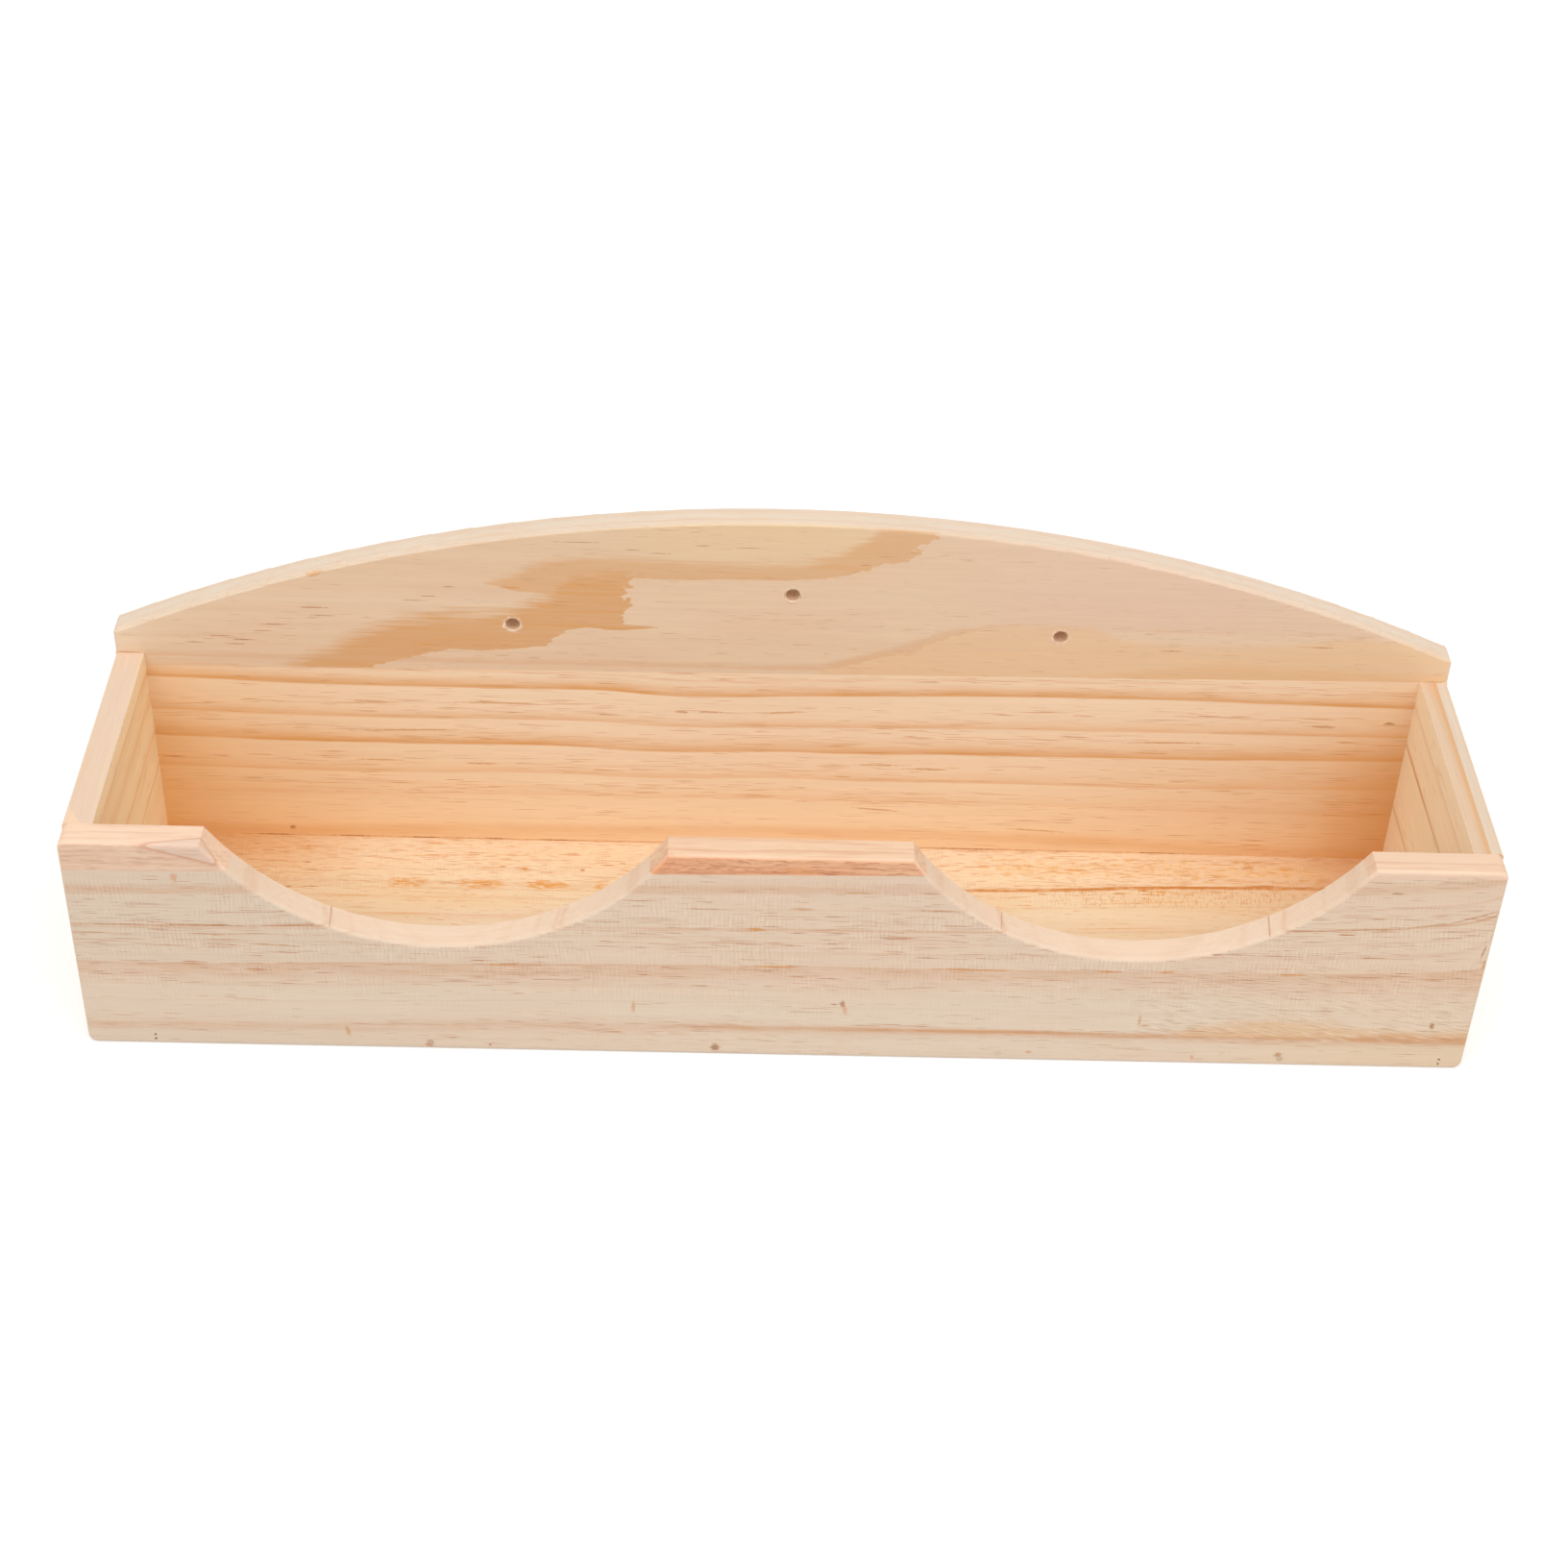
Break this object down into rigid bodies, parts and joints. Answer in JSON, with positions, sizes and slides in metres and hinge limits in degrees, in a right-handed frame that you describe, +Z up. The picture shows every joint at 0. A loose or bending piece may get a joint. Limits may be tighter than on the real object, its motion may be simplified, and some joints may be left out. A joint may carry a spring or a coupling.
{
  "type": "hay feeder box",
  "caption": "Open pine feeding trough with round scoops in its front board and a taller arched back board with screw holes.",
  "frame": {"origin": "middle of the face the box stands on", "axes": "+Z up, X along the width, the scooped front board faces -Y and the arched back board is at +Y"},
  "size_m": [0.4, 0.0974, 0.1265],
  "materials": {
    "pine_front": "sanded bare pine, pale",
    "pine_strip": "sanded bare pine, pinkish brown",
    "pine_back_upper": "sanded bare pine, figured",
    "pine_back_lower": "sanded bare pine, warm",
    "pine_side": "sanded bare pine, warm",
    "pine_floor": "sawn bare pine, light",
    "wood_filler": "dull filler",
    "pin_steel": "bright drawn wire"
  },
  "bodies": {
    "root": {"front_lower_stave": "pine_front", "front_left_tab": "pine_strip", "front_centre_tab": "pine_strip", "front_right_tab": "pine_strip", "back_lower_stave": "pine_back_lower", "back_upper_stave": "pine_back_upper", "left_side_board": "pine_side", "right_side_board": "pine_side", "floor_board": "pine_floor", "front_floor_pins": "pin_steel", "front_pin_fillers": "wood_filler", "front_end_pins": "pin_steel", "back_floor_pins": "pin_steel", "back_left_corner_pins": "pin_steel", "back_right_corner_pins": "pin_steel", "left_floor_pins": "pin_steel", "right_floor_pins": "pin_steel"}
  },
  "joints": []
}
